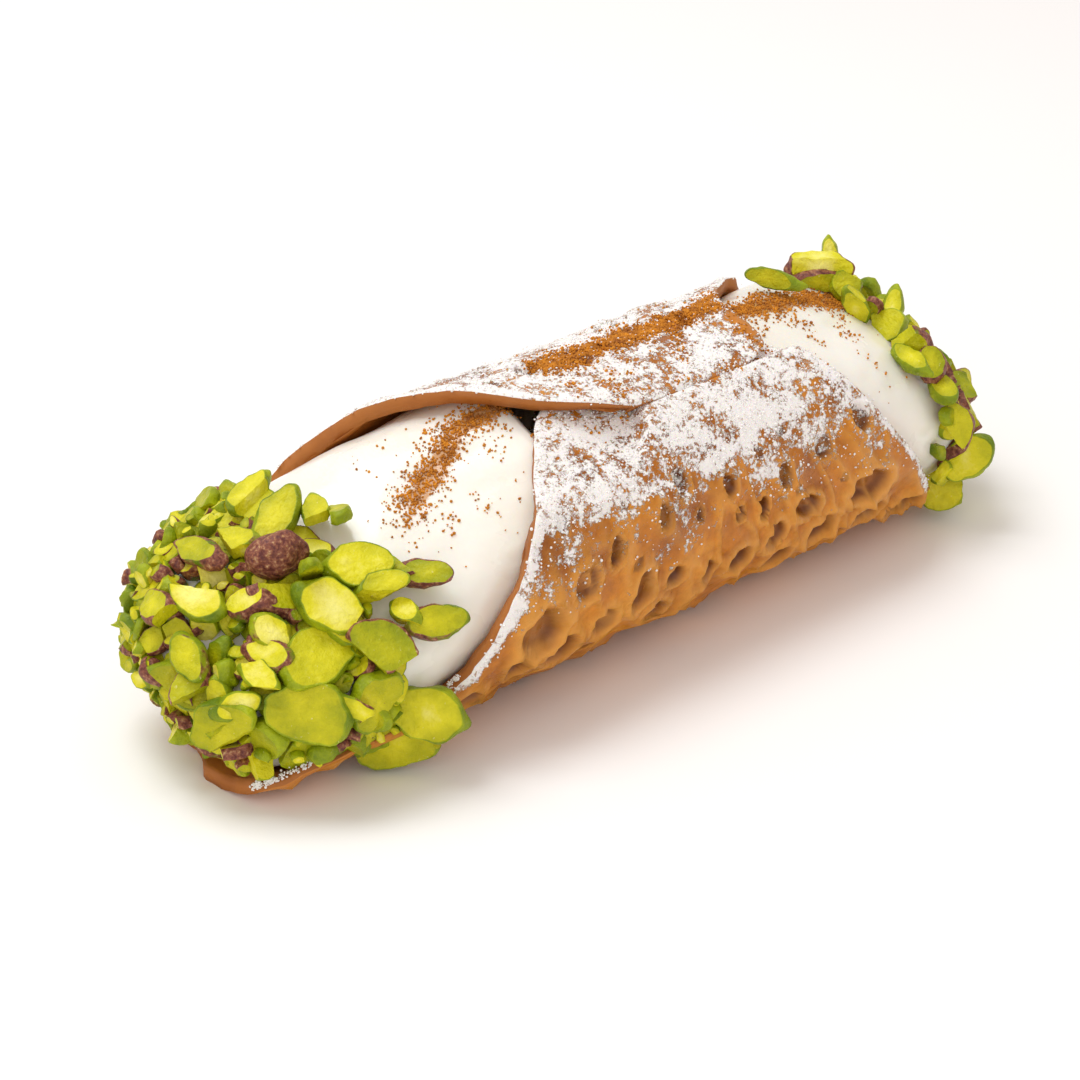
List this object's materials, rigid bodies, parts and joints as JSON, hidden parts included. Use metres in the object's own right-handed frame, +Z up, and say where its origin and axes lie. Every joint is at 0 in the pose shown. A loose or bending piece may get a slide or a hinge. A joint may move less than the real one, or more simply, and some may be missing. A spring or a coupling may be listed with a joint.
{
  "type": "cannolo pastry",
  "caption": "Fried pastry tube rolled corner over corner, filled end to end with cream, its slanting open mouths dipped in chopped pistachio; lies on its side.",
  "frame": {"origin": "middle of the base, on the surface the roll rests on", "axes": "+X along the roll towards its farther mouth, +Y to the back, +Z up; the lapped seam is turned about 22 degrees from the top towards -Y"},
  "size_m": [0.1552, 0.0464, 0.0433],
  "materials": {
    "fried_pastry": "blistered golden-brown fried crust, dusted with icing sugar and cinnamon",
    "cream": "smooth moist ivory cream",
    "pistachio": "fresh yellow-green cut faces with darker green and purple-brown skins",
    "pistachio_skin": "thin red-brown papery skin"
  },
  "bodies": {
    "root": {"fried_shell": "fried_pastry", "ricotta_cream": "cream", "pistachio_coat_near": "pistachio", "pistachio_coat_far": "pistachio", "pistachio_whole_kernel": "pistachio_skin", "pistachio_slice_crest": "pistachio", "pistachio_slice_upper_left": "pistachio", "pistachio_slice_pale": "pistachio", "pistachio_slice_oval": "pistachio", "pistachio_slice_dark": "pistachio", "pistachio_slice_flat": "pistachio", "pistachio_slice_olive": "pistachio", "pistachio_slice_rim": "pistachio", "pistachio_slice_far_low": "pistachio", "pistachio_slice_far_crest": "pistachio"}
  },
  "joints": []
}
